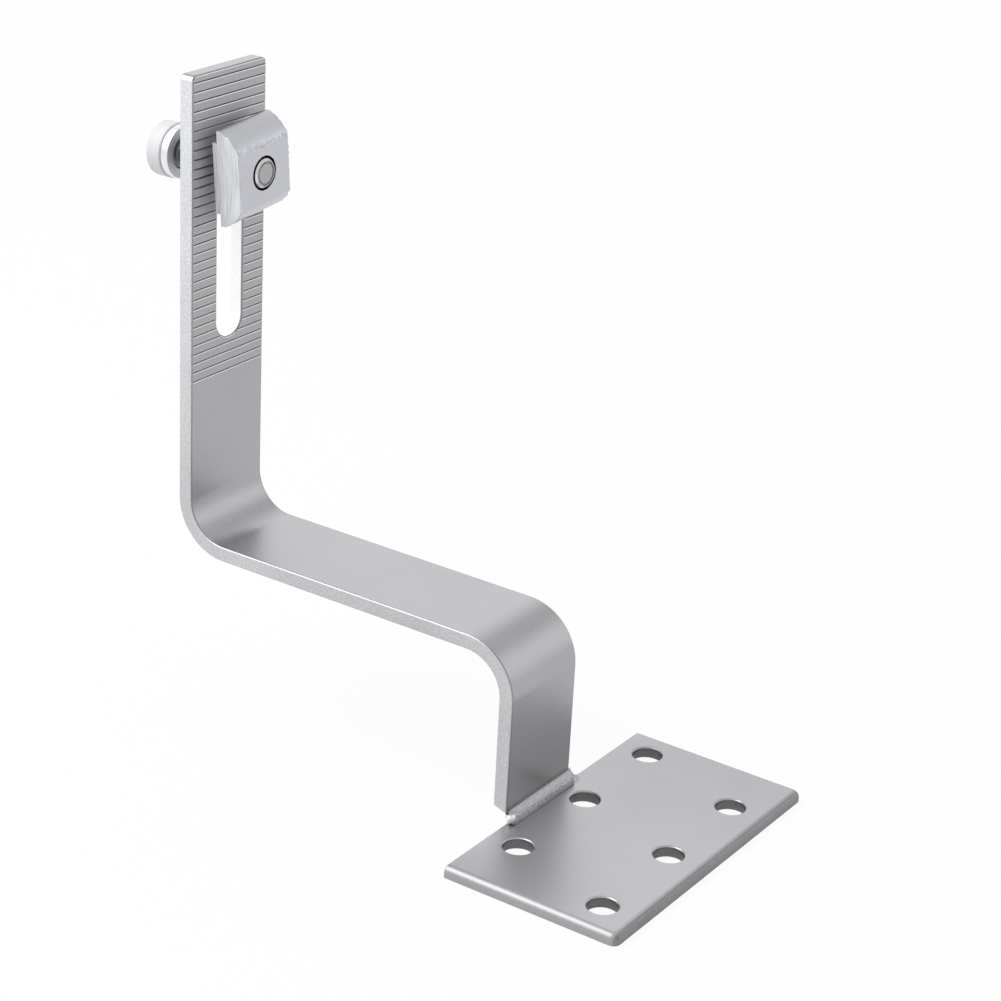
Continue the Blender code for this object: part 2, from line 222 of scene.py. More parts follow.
def finished_piece(name, shape, finishes, body, node):
    """Makes the shape an object that moves with its body and stands for one solid.

    Slivers that the cuts left behind are merged first, so that the mesh is clean and closed.
    """
    bmesh.ops.remove_doubles(shape, verts=shape.verts, dist=MERGE_REACH)
    bmesh.ops.dissolve_degenerate(shape, edges=shape.edges, dist=MERGE_REACH)
    mesh = bpy.data.meshes.new(name)
    shape.to_mesh(mesh)
    shape.free()
    mesh.shade_smooth()
    mesh.set_sharp_from_angle(angle=SMOOTH_ANGLE)
    for finish in finishes:
        mesh.materials.append(bpy.data.materials[finish])
    made = bpy.data.objects.new(name, mesh)
    bpy.context.scene.collection.objects.link(made)
    even = made.modifiers.new("even_shading", "WEIGHTED_NORMAL")
    even.keep_sharp = True
    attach(made, body)
    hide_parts(node)


plate_low, plate_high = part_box("base_plate")
plate_size = plate_high - plate_low


def inside_plate_edge(place):
    """Whether a place on the plate lies within its rounded edges, where the holes are."""
    return (abs(place.x) < plate_high.x - PLATE_EDGE_BAND
            and abs(place.y) < plate_high.y - PLATE_EDGE_BAND)


plate = bmesh.new()
bmesh.ops.create_cube(
    plate, size=1,
    matrix=Matrix.Translation((0, PLATE_CORNER_RADIUS, plate_size.z / 2))
    @ Matrix.Diagonal((plate_size.x, plate_size.y + PLATE_CORNER_RADIUS * 2, plate_size.z, 1)))
upright_edges = [edge for edge in plate.edges if length_along(edge, ALONG_Z) > plate_size.z / 2]
round_off(plate, upright_edges, PLATE_CORNER_RADIUS, PLATE_EDGE_SEGMENTS)
top_edges = sharp_edges(plate, lambda corner: corner.z > plate_size.z / 2)
round_off(plate, top_edges, PLATE_TOP_RADIUS, PLATE_EDGE_SEGMENTS)
under_edges = sharp_edges(plate, lambda corner: corner.z < plate_size.z / 2)
round_off(plate, under_edges, PLATE_UNDER_RADIUS, PLATE_EDGE_SEGMENTS)
cut_flat(plate, plate_high, (0, 1, 0))
bmesh.ops.recalc_face_normals(plate, faces=plate.faces)
round_off(plate, sharp_edges(plate), PLATE_BACK_RADIUS, RIM_SEGMENTS)
drills = bmesh.new()
for row_y, middle_x in HOLE_ROWS:
    for place in (-1, 0, 1):
        centre = Vector((middle_x + place * HOLE_PITCH, row_y, plate_size.z / 2))
        bmesh.ops.create_cone(
            drills, cap_ends=True, segments=HOLE_STEPS, radius1=HOLE_RADIUS, radius2=HOLE_RADIUS,
            depth=plate_size.z + CUT_OVERRUN, matrix=Matrix.Translation(centre))
plate = cut_out(plate, drills)
round_off(plate, sharp_edges(plate, inside_plate_edge), HOLE_RIM_RADIUS, RIM_SEGMENTS)
for face in plate.faces:
    inside = inside_plate_edge(face.calc_center_median())
    if inside and abs(face.normal.z) < WALL_LEAN:
        face.material_index = PLATE_HOLE
    elif not inside and face.normal.y < -WALL_LEAN:
        face.material_index = PLATE_FRONT
    elif not inside and abs(face.normal.x) > ROUNDING_LEAN:
        face.material_index = PLATE_EDGE

# Stainless steel, glass-bead blasted: an even satin grey without direction, with painted shade
# that darkens it a little towards the plate's far end.
worked_metal("blasted_steel_plate", "BFBFC2", "B3B3B6", 0.38,
             stains_and_painted_shade=[("EEEEEF", (plate_high.x, 0, plate_high.z), PLATE_SHADE_REACH)])
# Painted shade: the drilled walls, scored by the drill, are coloured dark for the shade in the
# holes' depth.
worked_metal("drilled_hole_painted_shade", "7E7E80", "686869", 0.36, grain_height=GRIT_HEIGHT * 2)
# Painted shade: the plate's front side is coloured darker than the top, standing in for the shaded
# floor it mirrors; it is also rougher.
worked_metal("plate_front_painted_shade", "98989A", "848486", 0.46)
# Long tumbling rubbed the ends matt, so they take the light as a soft band without a glint; their
# colour is darker than the top's, painted shade on the plate's ends.
worked_metal("tumbled_edge_painted_shade", "B4B4B6", "A6A6A8", 0.5)
finished_piece("drilled_plate", plate,
               ["blasted_steel_plate", "drilled_hole_painted_shade", "plate_front_painted_shade",
                "tumbled_edge_painted_shade"],
               "hook", "base_plate")


# Hook strap
# Stainless flat bar of 35 x 5 mm, bent cold to the arm and the upright, with a slot punched and a
# serration pressed into the upright. Its long sides keep the grainy bright face of the shears.
STRAP_THICKNESS = 0.005
STRAP_EDGE_RADIUS = 0.0006
STRAP_EDGE_SEGMENTS = 4
BEND_INSIDE_RADIUS = 0.013
BEND_STEPS = 40
ARM_UNDERSIDE = 0.058
FOOT_SLANT = 0.0018
FOOT_FRONT_BEVEL = 0.001
TOP_CORNER_RADIUS = 0.002
TOP_CORNER_SEGMENTS = 6
END_REACH = 0.002  # corners this near an end of the bar belong to it
CORNER_REACH = 0.00025  # and these to the foot's front corner
GROOVE_COUNT = 33
GROOVE_PITCH = 0.003
FIRST_GROOVE_DROP = 0.0022
GROOVE_START_MARGIN = 0.0008
# One groove from its upper to its lower lip: height, and depth behind the upright's front.
GROOVE_SECTION = ((0.00018, 0.0), (0.00012, 0.00042), (-0.00004, 0.00045), (-0.00016, 0.00018),
                  (-0.00032, 0.00006), (-0.00054, 0.0))
GROOVE_LIP_DEPTH = 0.0001
GROOVE_DEPTHS = (0.00001, 0.0006)
SLOT_RADIUS = 0.006
SLOT_RIM_RADIUS = 0.0006
SLOT_BOTTOM_DROP = 0.0872
SLOT_TOP_DROP = 0.0257
SLOT_STEPS = 64
SHEARED_GRAIN_SIZE = 0.0007  # really about 0.3 mm, which would hardly show
(STRAP_FACE, STRAP_SIDE, GROOVE_WALL, GROOVE_LIP, SLOT_WALL, STRAP_ROUNDING,
 STRAP_LAND) = range(7)
# Leans of a face's normal: off the flat, out of the slot's wall, and towards one side or the front.
OFF_FLAT_LEAN = 0.1
SLOT_RIM_LEAN = 0.3
SLOT_FACE_LEAN = 0.97
STRAP_SIDE_LEAN = 0.7
STRAP_FRONT_LEAN = 0.4
LAND_LEAN = 0.9
WELD_HEAT_REACH = 0.035
BEND_SHADE_REACH = 0.16
RISER_SHADE_REACH = 0.08

strap_low, strap_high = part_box("hook_strap")
strap_middle = (strap_low.x + strap_high.x) / 2
riser_front = strap_low.y
riser_back = riser_front + STRAP_THICKNESS
upright_back = strap_high.y
upright_front = upright_back - STRAP_THICKNESS
arm_top = ARM_UNDERSIDE + STRAP_THICKNESS
slot_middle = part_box("clamp_bolt")[0].lerp(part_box("clamp_bolt")[1], 0.5).x
slot_high = strap_high.z - SLOT_TOP_DROP - SLOT_RADIUS
slot_low = strap_high.z - SLOT_BOTTOM_DROP + SLOT_RADIUS
serration_low = strap_high.z - GROOVE_COUNT * GROOVE_PITCH


def flat_face(shape, corners):
    """A face through the given corners, from which a bar is pushed, bent or spun."""
    return shape.faces.new([shape.verts.new(corner) for corner in corners])


def drop_inner_face(shape, face):
    """Takes out the old end face once the bar goes on from it."""
    if any(len(edge.link_faces) > 2 for edge in face.edges):
        shape.faces.remove(face)


def push_face(shape, face, distance):
    """Runs the bar's end face straight ahead and returns the new end face."""
    result = bmesh.ops.extrude_face_region(shape, geom=[face])["geom"]
    ends = [item for item in result if isinstance(item, bmesh.types.BMVert)]
    bmesh.ops.translate(shape, verts=ends, vec=distance)
    drop_inner_face(shape, face)
    return next(item for item in result if isinstance(item, bmesh.types.BMFace))


def bend_face(shape, face, centre, degrees):
    """Sweeps the bar's end face round a bend and returns the new end face."""
    result = bmesh.ops.spin(shape, geom=[face], cent=centre, axis=(1, 0, 0),
                            angle=math.radians(degrees), steps=BEND_STEPS)["geom_last"]
    drop_inner_face(shape, face)
    return next(item for item in result if isinstance(item, bmesh.types.BMFace))


def near_slot(place):
    """Whether a place on the upright lies within the slot's rounded rim."""
    margin = SLOT_RADIUS + SLOT_RIM_RADIUS
    return (abs(place.x - slot_middle) < margin
            and slot_low - margin < place.z < slot_high + margin)


strap = bmesh.new()
end = flat_face(strap, [(x, y, strap_low.z) for x, y in (
    (strap_low.x, riser_front), (strap_high.x, riser_front), (strap_high.x, riser_back),
    (strap_low.x, riser_back))])
lower_bend = Vector((0, riser_back + BEND_INSIDE_RADIUS, ARM_UNDERSIDE - BEND_INSIDE_RADIUS))
upper_bend = Vector((0, upright_front - BEND_INSIDE_RADIUS, arm_top + BEND_INSIDE_RADIUS))
end = push_face(strap, end, (0, 0, lower_bend.z - strap_low.z))
end = bend_face(strap, end, lower_bend, -90)
end = push_face(strap, end, (0, upper_bend.y - lower_bend.y, 0))
end = bend_face(strap, end, upper_bend, 90)
push_face(strap, end, (0, 0, strap_high.z - upper_bend.z))
bmesh.ops.recalc_face_normals(strap, faces=strap.faces)
for corner in strap.verts:
    if corner.co.z < strap_low.z + END_REACH and corner.co.y > riser_front + STRAP_THICKNESS / 2:
        corner.co.z += FOOT_SLANT
foot_front = sharp_edges(strap, lambda corner: corner.z < strap_low.z + CORNER_REACH
                         and corner.y < riser_front + CORNER_REACH)
round_off(strap, foot_front, FOOT_FRONT_BEVEL, 1)
top_edges = sharp_edges(strap, lambda corner: corner.z > strap_high.z - END_REACH)
top_corners = [edge for edge in top_edges if length_along(edge, ALONG_X) < STRAP_EDGE_RADIUS]
round_off(strap, top_corners, TOP_CORNER_RADIUS, TOP_CORNER_SEGMENTS)
round_off(strap, sharp_edges(strap), STRAP_EDGE_RADIUS, STRAP_EDGE_SEGMENTS)

slot_punch = bmesh.new()
bmesh.ops.create_cone(
    slot_punch, cap_ends=True, segments=SLOT_STEPS, radius1=SLOT_RADIUS, radius2=SLOT_RADIUS,
    depth=STRAP_THICKNESS + CUT_OVERRUN, matrix=Matrix.Rotation(math.radians(90), 4, "X"))
upper_half = [corner for corner in slot_punch.verts if corner.co.z > 0]
bmesh.ops.translate(slot_punch, verts=slot_punch.verts,
                    vec=(slot_middle, upright_front + STRAP_THICKNESS / 2, slot_low))
bmesh.ops.translate(slot_punch, verts=upper_half, vec=(0, 0, slot_high - slot_low))
strap = cut_out(strap, slot_punch)
round_off(strap, sharp_edges(strap, near_slot), SLOT_RIM_RADIUS, RIM_SEGMENTS)

# Each groove starts a little inside the left side, and again just past the slot, as pressed.
groove_punch = bmesh.new()
groove_line = [(GROOVE_SECTION[0][0] * 2, -CUT_OVERRUN), *GROOVE_SECTION,
               (GROOVE_SECTION[-1][0] - CUT_OVERRUN, -CUT_OVERRUN / 4)]
for groove in range(GROOVE_COUNT):
    height = strap_high.z - FIRST_GROOVE_DROP - groove * GROOVE_PITCH
    left, right = strap_low.x + GROOVE_START_MARGIN, strap_high.x + CUT_OVERRUN
    runs = [(left, right)]
    from_slot = max(slot_low - height, height - slot_high, 0)
    if from_slot < SLOT_RADIUS:
        slot_side = slot_middle + math.sqrt(SLOT_RADIUS ** 2 - from_slot ** 2)
        runs = [(left, slot_middle), (slot_side + GROOVE_START_MARGIN, right)]
    for start, stop in runs:
        side = flat_face(groove_punch, [(start, upright_front + depth, height + rise)
                                        for rise, depth in groove_line])
        push_face(groove_punch, side, (stop - start, 0, 0))
bmesh.ops.recalc_face_normals(groove_punch, faces=groove_punch.faces)
strap = cut_out(strap, groove_punch)

# The upright's front is split at the serration's lower end, where the pressed lands stop.
bmesh.ops.bisect_plane(strap, geom=[*strap.verts, *strap.edges, *strap.faces],
                       plane_co=(0, 0, serration_low), plane_no=(0, 0, 1))
for face in strap.faces:
    middle, facing = face.calc_center_median(), face.normal
    in_serration = middle.z > serration_low
    sunk = upright_front + GROOVE_DEPTHS[0] < middle.y < upright_front + GROOVE_DEPTHS[1]
    # Groove walls take painted shade, and their lips a painted highlight.
    if sunk and in_serration and abs(facing.x) < OFF_FLAT_LEAN < abs(facing.z):
        at_lip = middle.y < upright_front + GROOVE_LIP_DEPTH
        face.material_index = GROOVE_LIP if at_lip else GROOVE_WALL
    # Rounded rims facing the front, round the slot and along the front's edges, take a painted dark
    # line.
    elif near_slot(middle) and abs(facing.y) < SLOT_FACE_LEAN:
        face.material_index = STRAP_ROUNDING if facing.y < -SLOT_RIM_LEAN else SLOT_WALL
    elif abs(facing.x) > STRAP_SIDE_LEAN:
        face.material_index = STRAP_SIDE
    elif abs(facing.x) > OFF_FLAT_LEAN and facing.y < -STRAP_FRONT_LEAN:
        face.material_index = STRAP_ROUNDING
    elif facing.y < -LAND_LEAN and in_serration:
        face.material_index = STRAP_LAND

weld_middle = (strap_middle, riser_front, plate_high.z)
bend_shade_centre = (strap_low.x, upright_back - BEND_INSIDE_RADIUS, ARM_UNDERSIDE)
riser_shade_centre = (strap_low.x, riser_front + ARM_UNDERSIDE / 2, ARM_UNDERSIDE / 2)
# Stainless steel, glass-bead blasted: a plain satin grey, which the weld's heat left a trace
# warmer round the foot.
worked_metal("blasted_steel_strap", "B7B7BA", "ABABAF", 0.36,
             stains_and_painted_shade=[("F4F1ED", weld_middle, WELD_HEAT_REACH)])
# Stainless steel torn by the shears: bright, with a coarse sparkling grain, and painted shade that
# darkens it round the bends and down the riser.
worked_metal("sheared_steel_side", "F2F3F5", "D8D9DC", 0.55, grain_size=SHEARED_GRAIN_SIZE,
             grain_height=GRIT_HEIGHT * 3,
             stains_and_painted_shade=[("E2E2E2", bend_shade_centre, BEND_SHADE_REACH),
                    ("D8D8D8", riser_shade_centre, RISER_SHADE_REACH)])
# Painted shade: the grooves' walls are coloured grey for the shade inside them, so each groove
# draws as a line.
worked_metal("groove_wall_painted_shade", "A6A6AA", "929296", 0.42)
# Painted highlight: each groove's lip is coloured pale, so each line has a thin bright rim.
worked_metal("groove_lip_painted_highlight", "E8E8EA", "D6D6D8", 0.34)
# Walls sheared clean by the punch: the strap's palest surface, nearly white inside the slot.
worked_metal("punched_slot_wall", "FEFEFE", "F8F8F9", 0.6)
# Painted shade: the rounded edges along the front and the slot's front rim are coloured darker, a
# dark line along each standing in for the shade they mirror.
worked_metal("rim_line_painted_shade", "A4A4A6", "929294", 0.45)
# Lands flattened by the tool's matt face: paler and duller than the plain bar below them.
worked_metal("pressed_steel_land", "D0D0D2", "C3C3C5", 0.75)
finished_piece("serrated_strap", strap,
               ["blasted_steel_strap", "sheared_steel_side", "groove_wall_painted_shade",
                "groove_lip_painted_highlight", "punched_slot_wall", "rim_line_painted_shade",
                "pressed_steel_land"],
               "hook", "hook_strap")


# Weld bead
# One pass of weld metal across the strap's foot. It froze in fine pebbly ripples, ends in a
# smooth bright droplet on its left, where the arc was struck, and runs out on its right in a
# hollow fillet.
WELD_RISE = 0.0047
WELD_REACH = 0.0028
WELD_BULGE = 0.0008
# The bead's hidden corners: ahead of the riser's front, and above the plate's top.
WELD_ROOT = ((0.0002, 0.0029), (-0.0012, 0.0029), (0.0001, -0.0016), (0.0012, -0.0008))
WELD_STEPS = 260
WELD_ARC_STEPS = 26
WELD_START_INSET = 0.0002
WELD_END_OVERHANG = 0.0002
WELD_DOME = 0.0014
WELD_DOME_LEAST = 0.02
# Shares of the bead's rise below and above which its toes get painted shade.
TOE_SHADE_BELOW = 0.07
TOE_SHADE_ABOVE = 0.93
PEBBLE_SIZE = 0.0007
PEBBLE_HEIGHT = 0.00009
FINE_PEBBLE_SCALE = 2.3
FINE_PEBBLE_SHARE = 0.5
PIT_SIZE = 0.0005
PIT_DEPTH = 0.0007
PIT_RARITY = 0.25
PITTED_LENGTH = 0.005
FILLET_REACH = 0.0056
FILLET_RISE = 0.0048
FILLET_ROOT = 0.0006
FILLET_DEPTH_SHARE = 0.55
FILLET_HOLLOW = 2.2
FILLET_STEPS = 24
DROPLET_CENTRE = (0.0009, -0.0012, 0.0019)
DROPLET_SIZE = (0.0018, 0.0014, 0.0015)
DROPLET_STEPS_ROUND = 32
DROPLET_STEPS_UP = 20
WELD_GRAIN_SIZE = 0.0006
DROPLET_GRAIN_SIZE = 0.0009
WELD_PEBBLES, WELD_TOE, WELD_DROPLET, WELD_FILLET = range(4)


def bowed_line(start, end, bulge, steps):
    """Points along an arc from start to end, which bows out by bulge to the right of its way."""
    chord = end - start
    radius = chord.length ** 2 / (8 * bulge) + bulge / 2
    outward = Vector((chord.y, -chord.x)).normalized()
    centre = (start + end) / 2 + outward * (bulge - radius)
    half_angle = math.asin(chord.length / 2 / radius)
    return [centre + Matrix.Rotation(half_angle * (2 * step / steps - 1), 2) @ outward * radius
            for step in range(steps + 1)]


def draw_out(shape, section, length, steps):
    """Draws a section out along X in even steps, so that its surface can be worked."""
    bmesh.ops.spin(shape, geom=[section], cent=(0, 0, 0), axis=(1, 0, 0), angle=0, steps=steps,
                   dvec=(length / steps, 0, 0))
    bmesh.ops.recalc_face_normals(shape, faces=shape.faces)


weld_start = strap_low.x + WELD_START_INSET
weld_end = strap_high.x + WELD_END_OVERHANG
weld_core = Vector((0, riser_front - WELD_REACH / 3, plate_high.z + WELD_RISE / 6))
weld_front = bowed_line(Vector((WELD_REACH, 0)), Vector((0, WELD_RISE)), WELD_BULGE, WELD_ARC_STEPS)
weld = bmesh.new()
weld_section = flat_face(weld, [(weld_start, riser_front - ahead, plate_high.z + above)
                                for ahead, above in [*weld_front, *WELD_ROOT]])
draw_out(weld, weld_section, weld_end - weld_start, WELD_STEPS)
weld.normal_update()
for face in weld.faces:
    above = face.calc_center_median().z - plate_high.z
    ahead = riser_front - face.calc_center_median().y
    at_plate = above < WELD_RISE * TOE_SHADE_BELOW and ahead > WELD_REACH / 2
    if at_plate or above > WELD_RISE * TOE_SHADE_ABOVE:
        face.material_index = WELD_TOE
outward = {corner: corner.normal.copy() for corner in weld.verts}
for corner in weld.verts:
    place = corner.co.copy()
    fine_pebbles = noise.noise(place / PEBBLE_SIZE * FINE_PEBBLE_SCALE)
    pebbles = noise.noise(place / PEBBLE_SIZE) + FINE_PEBBLE_SHARE * fine_pebbles
    pitted = max(0, 1 - (place.x - weld_start) / PITTED_LENGTH)
    pits = max(0, noise.noise(place / PIT_SIZE) - PIT_RARITY) * pitted
    corner.co += outward[corner] * (PEBBLE_HEIGHT * pebbles - PIT_DEPTH * pits)
    to_end = min(place.x - weld_start, weld_end - place.x, WELD_DOME)
    size = math.sqrt(max(WELD_DOME_LEAST, 1 - (1 - to_end / WELD_DOME) ** 2))
    corner.co.y = weld_core.y + (corner.co.y - weld_core.y) * size
    corner.co.z = weld_core.z + (corner.co.z - weld_core.z) * size

fillet = bmesh.new()
fillet_line = [(0, -FILLET_ROOT), (FILLET_REACH, -FILLET_ROOT)]
for step in range(FILLET_STEPS + 1):
    out = 1 - step / FILLET_STEPS
    fillet_line.append((out * FILLET_REACH, (1 - out) ** FILLET_HOLLOW * FILLET_RISE))
fillet_section = flat_face(fillet, [(reach, 0, rise) for reach, rise in fillet_line])
bmesh.ops.spin(fillet, geom=[fillet_section], cent=(0, 0, 0), axis=(0, 0, 1), angle=-math.pi,
               steps=FILLET_STEPS * 2)
bmesh.ops.remove_doubles(fillet, verts=fillet.verts, dist=MERGE_REACH)
bmesh.ops.recalc_face_normals(fillet, faces=fillet.faces)
bmesh.ops.transform(fillet, verts=fillet.verts,
                    matrix=Matrix.Translation((strap_high.x, riser_front, plate_high.z))
                    @ Matrix.Diagonal((1, FILLET_DEPTH_SHARE, 1, 1)))
for face in fillet.faces:
    face.material_index = WELD_FILLET
weld = cut_out(weld, fillet, "UNION")

droplet = bmesh.new()
droplet_place = Vector((strap_low.x, riser_front, plate_high.z)) + Vector(DROPLET_CENTRE)
bmesh.ops.create_uvsphere(
    droplet, u_segments=DROPLET_STEPS_ROUND, v_segments=DROPLET_STEPS_UP, radius=1,
    matrix=Matrix.Translation(droplet_place) @ Matrix.Diagonal((*DROPLET_SIZE, 1)))
for face in droplet.faces:
    face.material_index = WELD_DROPLET
weld = cut_out(weld, droplet, "UNION")

# Stainless weld metal, frozen in pebbles: bright crests, darker hollows and a coarse grain.
worked_metal("pebbled_weld_metal", "BEC0C4", "96989C", 0.42, grain_size=WELD_GRAIN_SIZE,
             grain_height=GRIT_HEIGHT * 5)
# Painted shade: a thin darker, brownish line where the bead meets the plate and the strap, standing
# in for the shade in those creases.
worked_metal("weld_toe_painted_shade", "8C8A89", "72706F", 0.5, grain_height=GRIT_HEIGHT * 4)
# Painted highlight: a drop of weld metal that froze smooth, coloured nearly white for the glint it
# catches, with a soft gloss.
worked_metal("droplet_painted_highlight", "FAFAFA", "F0F0F1", 0.4, grain_size=DROPLET_GRAIN_SIZE)
# Weld metal that ran out thin and was blasted with the plate: the same even satin grey.
worked_metal("smooth_fused_fillet", "BEBEC1", "B0B0B3", 0.42)
finished_piece("pebbled_weld", weld,
               ["pebbled_weld_metal", "weld_toe_painted_shade", "droplet_painted_highlight",
                "smooth_fused_fillet"],
               "hook", "weld_bead")


# Clamp block
# Aluminium bar, extruded with a neck and two ears, sawn to length and tapped for the clamp bolt.
# Its sawn ends keep the curved marks of the saw, and its front edges are nicked from handling.
BLOCK_STANDOFF = 0.0034
BLOCK_WIDTH = 0.024
BLOCK_DEPTH = 0.0101
BLOCK_HEIGHT = 0.0310
FRONT_FACE_HEIGHT = 0.0184
NECK_HEIGHT = 0.023
NECK_DEPTH = 0.0018
SLOPE_BULGE = 0.0009
SLOPE_STEPS = 20
FRONT_STEPS = 48
LENGTH_STEPS = 70
EAR_TIP_WIDTH = 0.0012
BLOCK_EDGE_RADIUS = 0.00035
BLOCK_EDGE_SEGMENTS = 4
BLOCK_SMALL_RADIUS = 0.00015
BLOCK_SMALL_SEGMENTS = 2
BLOCK_BORE_RADIUS = 0.0054
BLOCK_BORE_RIM = 0.00015
BLOCK_BORE_SEGMENTS = 3
BLOCK_TURN = math.radians(5)  # the loose block hangs a little askew
NICK_SIZE = 0.0007
NICK_DEPTH = 0.0007
NICKED_BAND = 0.0009
NICKED_FROM = NECK_DEPTH * 1.5
NICK_RARITY = 0.12
BURR_RARITY = 0.15
BURR_SHARE = 0.8
LOWER_WEAR_SHARE = 0.4
SAW_RADIUS = 0.06
SAW_MARK_LENGTH = 0.012
SAW_MARK_SIZE = 0.0005  # real tooth marks are about 0.2 mm wide, too fine to show
BLOCK_FACE, BLOCK_SAWN_END, BLOCK_BACK, BLOCK_BORE = range(4)
# Leans of a face's normal, and the share of the width from which a face belongs to an end.
BORE_LEAN = 0.95
SAWN_LEAN = 0.9
BACK_LEAN = 0.7
SAWN_END_FROM = 0.45

bolt_low, bolt_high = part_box("clamp_bolt")
clamp_place = (Matrix.Translation((slot_middle, upright_front, (bolt_low.z + bolt_high.z) / 2))
               @ Matrix.Rotation(math.radians(90), 4, "X"))


def saw_marks(tree, place):
    """Reads the grain along arcs, as a round saw leaves them on the end of a bar."""
    saw_centre = clamp_place @ Vector((0, 0, -SAW_RADIUS))
    reach = add_node(tree, "ShaderNodeVectorMath", {0: place, 1: saw_centre}, operation="DISTANCE")
    parts = add_node(tree, "ShaderNodeSeparateXYZ", {"Vector": place})
    along = add_node(tree, "ShaderNodeMath",
                     {0: parts.outputs["Z"], 1: SAW_MARK_SIZE / SAW_MARK_LENGTH},
                     operation="MULTIPLY")
    return add_node(tree, "ShaderNodeCombineXYZ",
                    {"X": reach.outputs["Value"], "Y": along.outputs[0]}).outputs[0]


# Half of the bar's outline: x up from the bolt's axis, y forward from the neck's back.
slope = bowed_line(Vector((BLOCK_HEIGHT / 2, NECK_DEPTH + EAR_TIP_WIDTH)),
                   Vector((FRONT_FACE_HEIGHT / 2, BLOCK_DEPTH)), SLOPE_BULGE, SLOPE_STEPS)
half = [Vector((NECK_HEIGHT / 2, 0)), Vector((NECK_HEIGHT / 2, NECK_DEPTH)),
        Vector((BLOCK_HEIGHT / 2, NECK_DEPTH)), *slope]
crease = half[-1]
front = [crease.lerp(Vector((-crease.x, crease.y)), step / FRONT_STEPS)
         for step in range(1, FRONT_STEPS)]
outline = [*half, *front, *[Vector((-point.x, point.y)) for point in reversed(half)]]
block = bmesh.new()
block_section = flat_face(block, [(-BLOCK_WIDTH / 2, point.x, point.y) for point in outline])
draw_out(block, block_section, BLOCK_WIDTH, LENGTH_STEPS)


def edges_along_bar(shape, accept):
    """Edges that run along the bar and whose ends are both accepted."""
    return [edge for edge in shape.edges
            if length_along(edge, ALONG_X) > BLOCK_SMALL_RADIUS
            and length_along(edge, ALONG_Y) < BLOCK_SMALL_RADIUS / 2
            and all(accept(corner.co) for corner in edge.verts)]


creases = edges_along_bar(block, lambda corner: corner.z > BLOCK_DEPTH - BLOCK_SMALL_RADIUS
                          and abs(corner.y) > FRONT_FACE_HEIGHT / 2 - BLOCK_SMALL_RADIUS)
ear_tips = edges_along_bar(
    block, lambda corner: abs(corner.y) > BLOCK_HEIGHT / 2 - BLOCK_SMALL_RADIUS)
round_off(block, creases, BLOCK_EDGE_RADIUS, BLOCK_EDGE_SEGMENTS)
round_off(block, ear_tips, BLOCK_EDGE_RADIUS, BLOCK_EDGE_SEGMENTS)
round_off(block, sharp_edges(block), BLOCK_SMALL_RADIUS, BLOCK_SMALL_SEGMENTS)
bore = bmesh.new()
bmesh.ops.create_cone(
    bore, cap_ends=True, segments=HOLE_STEPS, radius1=BLOCK_BORE_RADIUS, radius2=BLOCK_BORE_RADIUS,
    depth=BLOCK_DEPTH + CUT_OVERRUN, matrix=Matrix.Translation((0, 0, BLOCK_DEPTH / 2)))
block = cut_out(block, bore)
bore_rims = sharp_edges(
    block, lambda corner: corner.xy.length < BLOCK_BORE_RADIUS + BLOCK_BORE_RIM)
round_off(block, bore_rims, BLOCK_BORE_RIM, BLOCK_BORE_SEGMENTS)
for face in block.faces:
    middle, facing = face.calc_center_median(), face.normal
    in_bore = middle.xy.length < BLOCK_BORE_RADIUS + BLOCK_BORE_RIM
    if in_bore and abs(facing.z) < BORE_LEAN:
        face.material_index = BLOCK_BORE
    elif abs(facing.x) > SAWN_LEAN and abs(middle.x) > BLOCK_WIDTH * SAWN_END_FROM:
        face.material_index = BLOCK_SAWN_END
    elif facing.z < -BACK_LEAN:
        face.material_index = BLOCK_BACK

# Wear along the creases and the sawn ends: dents where the noise is high, raised burrs where it
# is low, and less of both on the sheltered lower side.
block.normal_update()
for corner in block.verts:
    place, facing = corner.co.copy(), corner.normal.copy()
    to_crease = math.hypot(abs(place.y) - FRONT_FACE_HEIGHT / 2, place.z - BLOCK_DEPTH)
    on_end = BLOCK_WIDTH / 2 - abs(place.x) < NICKED_BAND / 2
    if place.z > NICKED_FROM and (to_crease < NICKED_BAND or on_end):
        wear = noise.noise(place / NICK_SIZE)
        dent, burr = max(0, wear - NICK_RARITY), max(0, -wear - BURR_RARITY) * BURR_SHARE
        kept_share = LOWER_WEAR_SHARE if place.y < 0 and not on_end else 1
        nick = (dent - burr) * NICK_DEPTH * kept_share
        corner.co -= Vector((0, facing.y, facing.z)) * nick
bmesh.ops.transform(block, verts=block.verts,
                    matrix=clamp_place @ Matrix.Translation((0, 0, BLOCK_STANDOFF))
                    @ Matrix.Rotation(BLOCK_TURN, 4, "Z"))

# Aluminium as it left the extruding die: a cool pale satin, smoother than the blasted steel.
worked_metal("extruded_aluminium", "D4D5DB", "C6C7CC", 0.38)
# Freshly sawn aluminium: bright, with the saw's curved scratches across it.
worked_metal("sawn_aluminium", "F0F1F3", "CED0D3", 0.48, grain_size=SAW_MARK_SIZE,
             grain_height=GRIT_HEIGHT * 5, grain_run=saw_marks)
# Painted light: the side towards the strap is coloured pale and matt, so that its reflection in the
# serration stands in for light bouncing between block and strap.
worked_metal("block_back_painted_light", "E0E1E4", "D0D1D4", 0.7)
# Painted shade: the tapped bore is coloured nearly black for the deep shade inside it, a dark ring
# round the bolt's tip.
worked_metal("tapped_bore_painted_shade", "3A3B3D", "242526", 0.5)
finished_piece("sawn_block", block,
               ["extruded_aluminium", "sawn_aluminium", "block_back_painted_light",
                "tapped_bore_painted_shade"],
               "block", "clamp_block")


